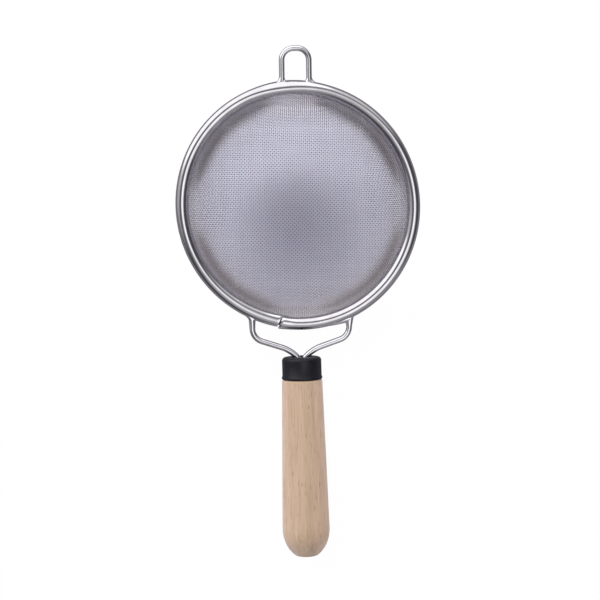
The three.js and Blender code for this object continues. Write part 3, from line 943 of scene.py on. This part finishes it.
bands = grain(stretch=0.04, scale=260.0, detail=3.0)
fibres = grain(stretch=0.02, scale=2600.0, detail=4.0)
flecks = grain(stretch=0.09, scale=2300.0, detail=2.0)
fibre_tone = [(0.35, (0.85, 0.83, 0.80)), (0.6, (1, 1, 1))]
fleck_tone = [(0.28, (0.66, 0.55, 0.45)), (0.38, (1, 1, 1))]
body = ramp(nodes, [(0.3, (0.485, 0.34, 0.23)), (0.7, (0.605, 0.44, 0.318))])
links.new(bands.outputs["Fac"], body.inputs["Fac"])
colour = tone(nodes, links, body.outputs["Color"], fibres.outputs["Fac"], fibre_tone)
colour = tone(nodes, links, colour, flecks.outputs["Fac"], fleck_tone)
links.new(colour, surface.inputs["Base Color"])
gloss = add_node(nodes, "ShaderNodeMapRange", To_Min=0.5, To_Max=0.62)
links.new(fibres.outputs["Fac"], gloss.inputs["Value"])
links.new(gloss.outputs["Result"], surface.inputs["Roughness"])
relief = add_node(nodes, "ShaderNodeBump", Strength=0.12, Distance=0.0001)
links.new(fibres.outputs["Fac"], relief.inputs["Height"])
links.new(relief.outputs["Normal"], surface.inputs["Normal"])
surface.inputs["Sheen Weight"].default_value = 0.25
surface.inputs["Sheen Tint"].default_value = (1.0, 0.9, 1.0, 1)
dress(handle, wood)

# %% [markdown]
# ## The table
# A pale table top carries the strainer. Under the bowl it is plain paint, which takes the soft shadow that
# shows through the net. Further out it fades into a white sweep for the camera, and the edge of that change
# lies behind the rim. A brighter lamp could whiten the table too, but it would bleach the strainer. The
# steel mirrors a dimmer table, or the underside of the roll would glow.

# %% Lay the table
TABLE_SIZE = 6
UNDER_BOWL = Vector((0, 57.3, 0)) * MM
PAINT_EDGE = 57 * MM
SWEEP_EDGE = 62 * MM
SWEEP_SHARE = 0.98
MIRRORED_TABLE = 0.26

bpy.ops.object.select_all(action="DESELECT")
bpy.ops.mesh.primitive_plane_add(size=TABLE_SIZE, location=(0, 0, 0))
table = bpy.context.object
table.name = "table"
paint, nodes, links, surface = new_material("table_paint")
surface.inputs["Base Color"].default_value = (0.87, 0.86, 0.97, 1)
surface.inputs["Roughness"].default_value = 0.9
glow = add_node(nodes, "ShaderNodeEmission", Color=(1, 1, 1, 1), Strength=1.0)
mirrored = add_node(nodes, "ShaderNodeEmission", Color=(0.92, 0.9, 1.0, 1), Strength=MIRRORED_TABLE)
reflected = nodes.new("ShaderNodeMixShader")
blend = nodes.new("ShaderNodeMixShader")
rays = nodes.new("ShaderNodeLightPath")
spot = nodes.new("ShaderNodeTexCoord")
distance = nodes.new("ShaderNodeVectorMath")
distance.operation = "DISTANCE"
distance.inputs[1].default_value = UNDER_BOWL
fade = add_node(nodes, "ShaderNodeMapRange", From_Min=PAINT_EDGE, From_Max=SWEEP_EDGE, To_Max=SWEEP_SHARE)
seen = nodes.new("ShaderNodeMath")
seen.operation = "MULTIPLY"
links.new(spot.outputs["Object"], distance.inputs[0])
links.new(distance.outputs["Value"], fade.inputs["Value"])
links.new(fade.outputs["Result"], seen.inputs[0])
links.new(rays.outputs["Is Camera Ray"], seen.inputs[1])
links.new(seen.outputs["Value"], blend.inputs["Fac"])
links.new(rays.outputs["Is Glossy Ray"], reflected.inputs["Fac"])
links.new(surface.outputs["BSDF"], reflected.inputs[1])
links.new(mirrored.outputs["Emission"], reflected.inputs[2])
links.new(reflected.outputs["Shader"], blend.inputs[1])
links.new(glow.outputs["Emission"], blend.inputs[2])
links.new(blend.outputs["Shader"], nodes["Material Output"].inputs["Surface"])
dress(table, paint)

# %% [markdown]
# ## Light
# Polished steel shows what stands round it, so the room matters as much as the lamps. Soft boxes could be
# modelled as planes, but their hard edges would show in the roll. So the room is painted in the world: dark
# walls with soft round patches of light. Each patch has a name, the side that it stands on in degrees from
# +X, its angle down from straight over the rim, the angle within which it is full, the angle beyond which
# it is gone, and the brightness that a mirror would show. The camera itself sees plain white.

# %% Paint the room
DARK_WALL = (0.08, 0.08, 0.088, 1)
PATCHES = (
    ("key", 116, 71, 37, 47, 1.2),
    ("key side", 60, 64, 10, 28, 0.5),
    ("key edge", 172, 58, 10, 28, 0.32),
    ("key haze", 112, 95, 50, 90, 0.4),
    ("fill", 329, 20, 14, 27, 1.05),
    ("fill side", 32, 17, 6, 19, 0.52),
    ("ceiling", 268, 24, 12, 34, 0.45),
    ("handle wall", 292, 76, 20, 50, 0.33),
)

world = bpy.data.worlds.new("room")
bpy.context.scene.world = world
world.use_nodes = True
nodes = world.node_tree.nodes
links = world.node_tree.links
nodes["Background"].inputs["Color"].default_value = DARK_WALL
direction = nodes.new("ShaderNodeTexCoord")
room = nodes["Background"].outputs["Background"]


def towards(azimuth, down):
    """A turn of +Z to an angle down from straight over the rim, on the side at this azimuth from +X."""
    turned = Matrix.Rotation(math.radians(azimuth), 4, "Z") @ Matrix.Rotation(math.radians(down), 4, "Y")
    return tip @ turned


for name, azimuth, down, full, gone, brightness in PATCHES:
    middle = towards(azimuth, down) @ Vector((0, 0, 1))
    near = nodes.new("ShaderNodeVectorMath")
    near.name = name
    near.operation = "DOT_PRODUCT"
    near.inputs[1].default_value = middle
    limits = {"From_Min": math.cos(math.radians(gone)), "From_Max": math.cos(math.radians(full))}
    soft = add_node(nodes, "ShaderNodeMapRange", **limits, To_Min=0.0, To_Max=brightness)
    soft.interpolation_type = "SMOOTHSTEP"
    patch = nodes.new("ShaderNodeBackground")
    both = nodes.new("ShaderNodeAddShader")
    links.new(direction.outputs["Generated"], near.inputs[0])
    links.new(near.outputs["Value"], soft.inputs["Value"])
    links.new(soft.outputs["Result"], patch.inputs["Strength"])
    links.new(room, both.inputs[0])
    links.new(patch.outputs["Background"], both.inputs[1])
    room = both.outputs["Shader"]
backdrop = add_node(nodes, "ShaderNodeBackground", Color=(1, 1, 1, 1), Strength=1.0)
rays = nodes.new("ShaderNodeLightPath")
choose = nodes.new("ShaderNodeMixShader")
links.new(rays.outputs["Is Camera Ray"], choose.inputs["Fac"])
links.new(room, choose.inputs[1])
links.new(backdrop.outputs["Background"], choose.inputs[2])
links.new(choose.outputs["Shader"], nodes["World Output"].inputs["Surface"])
print(f"{len(PATCHES)} patches of light on dark walls")

# %% [markdown]
# The painted room is too dark for the net, the plastic and the wood, which scatter light and mirror little.
# Three large area lamps flood them from the sides. They are hidden from glossy rays, because a mirrored
# lamp would cross the patches in the roll.

# %% Set the floods
FLOODS = (("flood_left", 138, 2.6), ("flood_right", 50, 2.2), ("flood_back", 270, 0.5))
FLOOD_SIZE = 1.0
FLOOD_DOWN = 68
FLOOD_DISTANCE = 0.9

over_rim = LAY_DOWN @ tip.inverted()
back_off = Matrix.Translation((0, 0, FLOOD_DISTANCE))
for name, azimuth, brightness in FLOODS:
    bpy.ops.object.light_add(type="AREA")
    flood = bpy.context.object
    flood.name = name
    flood.data.size = FLOOD_SIZE
    flood.data.energy = brightness * math.pi
    flood.matrix_world = over_rim @ towards(azimuth, FLOOD_DOWN) @ back_off
    flood.visible_glossy = False
    print(f"{name} at {[round(c, 2) for c in flood.location]}")

# %% [markdown]
# ## Camera
# The camera looks down on the bowl almost along its axis, from about 60 cm away, a little towards the
# handle. It is turned slightly about its own axis, so the tool leans to the left in the picture. A
# constraint could aim it at the bowl, but two small angles set the frame exactly.

# %% Set the camera
EYE = Vector((0, -15, 598)) * MM
LENS = 75
SENSOR = 36
NOD = math.radians(-2.92)
IMAGE_TURN = math.radians(-1.54)

bpy.ops.object.camera_add()
camera = bpy.context.object
camera.data.lens = LENS
camera.data.sensor_width = SENSOR
look = Matrix.Rotation(NOD, 4, "X") @ Matrix.Rotation(IMAGE_TURN, 4, "Z")
camera.matrix_world = LAY_DOWN @ Matrix.Translation(EYE) @ look
bpy.context.scene.camera = camera
bpy.context.scene.view_settings.view_transform = "Standard"
print(f"camera at {[round(c, 3) for c in camera.location]}")
